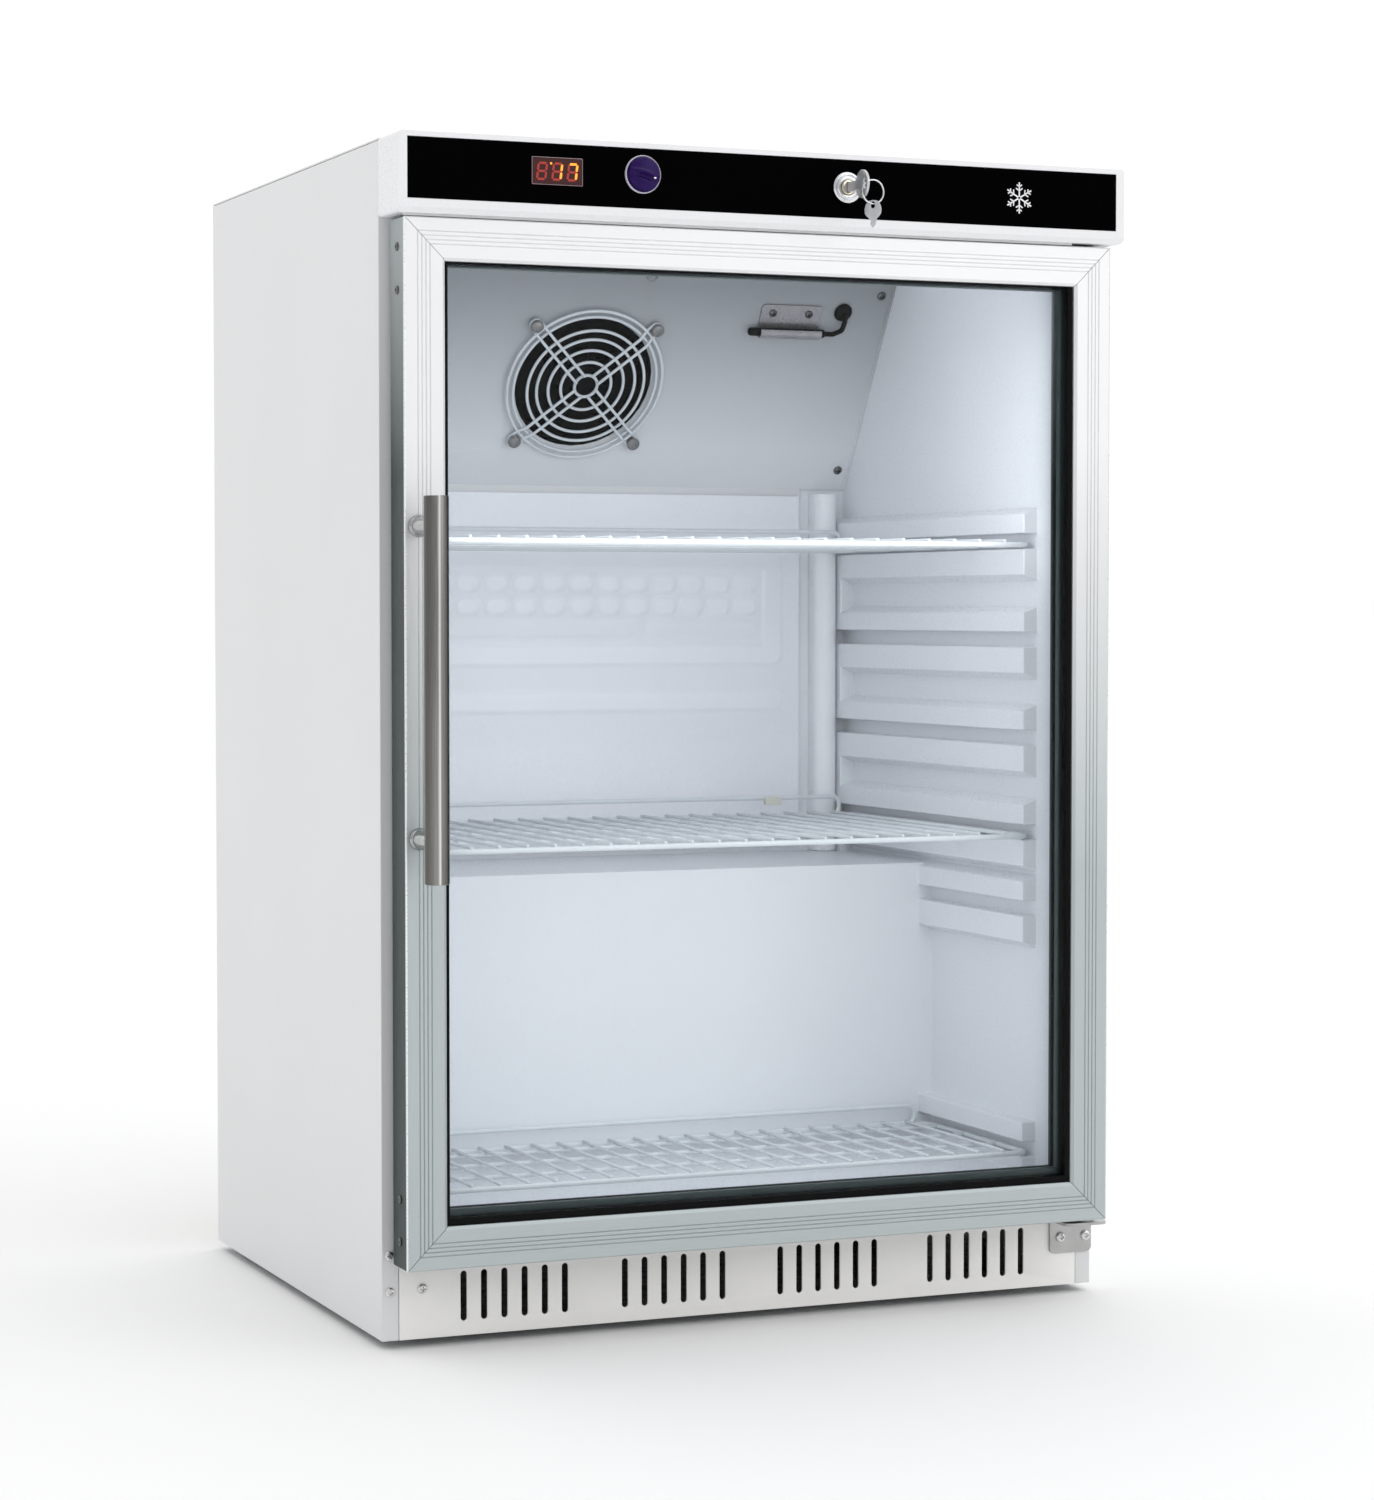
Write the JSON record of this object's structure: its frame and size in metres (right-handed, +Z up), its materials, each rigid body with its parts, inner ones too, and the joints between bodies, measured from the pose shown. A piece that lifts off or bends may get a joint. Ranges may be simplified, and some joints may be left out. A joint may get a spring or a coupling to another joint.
{
  "type": "reach in refrigerator",
  "caption": "Undercounter reach-in refrigerator with a glazed hinged door, wire shelves, a fan-cooled interior and a lockable control crown.",
  "frame": {"origin": "middle of the footprint on the floor", "axes": "+Z up, -Y towards the person who opens the door, +X towards the hinge side"},
  "size_m": [0.572, 0.557, 0.855],
  "materials": {
    "white_paint": "gloss",
    "galvanised_steel": "satin",
    "insulation_foam": "matte",
    "liner_plastic": "satin",
    "coated_wire": "gloss",
    "evaporator_paint": "satin",
    "black_acrylic": "gloss",
    "display_window": "gloss",
    "dark_plastic": "matte",
    "purple_plastic": "satin",
    "chrome": "polished",
    "brass": "satin",
    "brushed_steel": "satin",
    "satin_aluminium": "satin",
    "door_core_plastic": "satin",
    "clear_glass": "gloss",
    "spacer_bar": "matte",
    "black_rubber": "matte",
    "grey_rubber": "matte",
    "black_enamel": "gloss",
    "copper": "satin"
  },
  "bodies": {
    "root": {"side_panel_left": "white_paint", "side_panel_right": "white_paint", "top_panel": "white_paint", "back_panel": "galvanised_steel", "base_pan": "galvanised_steel", "plinth_grille": "white_paint", "insulation_foam": "insulation_foam", "liner": "liner_plastic", "machine_bay_panel": "galvanised_steel", "evaporator_plate": "evaporator_paint", "rear_duct": "liner_plastic", "cord_gland": "dark_plastic", "fan_panel": "white_paint", "fan_housing": "dark_plastic", "fan_guard": "coated_wire", "sensor_bracket": "chrome", "sensor_probe": "black_rubber", "cable_grommet": "black_rubber", "crown_housing": "white_paint", "control_fascia": "black_acrylic", "display_module": "display_window", "thermostat_body": "dark_plastic", "knob_bezel": "chrome", "lock_barrel": "chrome", "hinge_bracket_bottom": "brushed_steel", "hinge_bracket_top": "brushed_steel", "compressor": "black_enamel", "relay_box": "dark_plastic", "drip_tray": "dark_plastic", "condenser_coil": "black_enamel", "filter_drier": "copper", "discharge_pipe": "copper", "suction_pipe": "copper"},
    "door": {"door_frame_top": "satin_aluminium", "door_frame_bottom": "satin_aluminium", "door_frame_left": "satin_aluminium", "door_frame_right": "satin_aluminium", "door_core": "door_core_plastic", "glazing_seal": "black_rubber", "glass_outer": "clear_glass", "glazing_spacer": "spacer_bar", "glass_inner": "clear_glass", "door_gasket": "grey_rubber", "handle_bar": "brushed_steel", "handle_post_top": "chrome", "handle_post_bottom": "chrome"},
    "lock": {"lock_plug": "brass", "lock_cam": "brushed_steel", "key": "chrome"},
    "key_bunch": {"key_ring": "chrome", "spare_key": "chrome"},
    "knob": {"thermostat_knob": "purple_plastic"},
    "fan": {"fan_rotor": "dark_plastic"},
    "upper_shelf": {"shelf_top": "coated_wire"},
    "centre_shelf": {"shelf_middle": "coated_wire"},
    "lower_shelf": {"shelf_bottom": "coated_wire"},
    "foot_front_left_screw": {"foot_front_left": "dark_plastic"},
    "foot_front_right_screw": {"foot_front_right": "dark_plastic"},
    "foot_rear_left_screw": {"foot_rear_left": "dark_plastic"},
    "foot_rear_right_screw": {"foot_rear_right": "dark_plastic"}
  },
  "joints": [
    {"name": "door_hinge", "type": "hinge", "parent": "root", "child": "door", "pos_m": [0.27, -0.2145, 0.43], "axis": [0, 0, 1], "range_deg": [0, 115]},
    {"name": "lock_turn", "type": "hinge", "parent": "root", "child": "lock", "pos_m": [0.0552, -0.2345, 0.8308], "axis": [0, -1, 0], "range_deg": [0, 90]},
    {"name": "key_swing", "type": "hinge", "parent": "root", "child": "key_bunch", "pos_m": [0.0552, -0.2715, 0.8308], "axis": [-1, 0, 0], "range_deg": [-10, 25]},
    {"name": "knob_turn", "type": "hinge", "parent": "root", "child": "knob", "pos_m": [-0.1046, -0.2395, 0.8327], "axis": [0, -1, 0], "range_deg": [-135, 135]},
    {"name": "fan_spin", "type": "hinge", "parent": "root", "child": "fan", "pos_m": [-0.004, 0.1434, 0.71527], "axis": [0, -0.8572, -0.515], "continuous": true},
    {"name": "shelf_top_slide", "type": "slide", "parent": "root", "child": "upper_shelf", "axis": [0, -1, 0], "range_m": [0, 0.03]},
    {"name": "shelf_middle_slide", "type": "slide", "parent": "root", "child": "centre_shelf", "axis": [0, -1, 0], "range_m": [0, 0.03]},
    {"name": "shelf_bottom_slide", "type": "slide", "parent": "root", "child": "lower_shelf", "axis": [0, -1, 0], "range_m": [0, 0.03]},
    {"name": "turn_foot_front_left", "type": "hinge", "parent": "root", "child": "foot_front_left_screw", "pos_m": [-0.226, -0.1345, 0.003], "axis": [0, 0, 1], "continuous": true},
    {"name": "turn_foot_front_right", "type": "hinge", "parent": "root", "child": "foot_front_right_screw", "pos_m": [0.226, -0.1345, 0.003], "axis": [0, 0, 1], "continuous": true},
    {"name": "turn_foot_rear_left", "type": "hinge", "parent": "root", "child": "foot_rear_left_screw", "pos_m": [-0.226, 0.1775, 0.003], "axis": [0, 0, 1], "continuous": true},
    {"name": "turn_foot_rear_right", "type": "hinge", "parent": "root", "child": "foot_rear_right_screw", "pos_m": [0.226, 0.1775, 0.003], "axis": [0, 0, 1], "continuous": true}
  ]
}
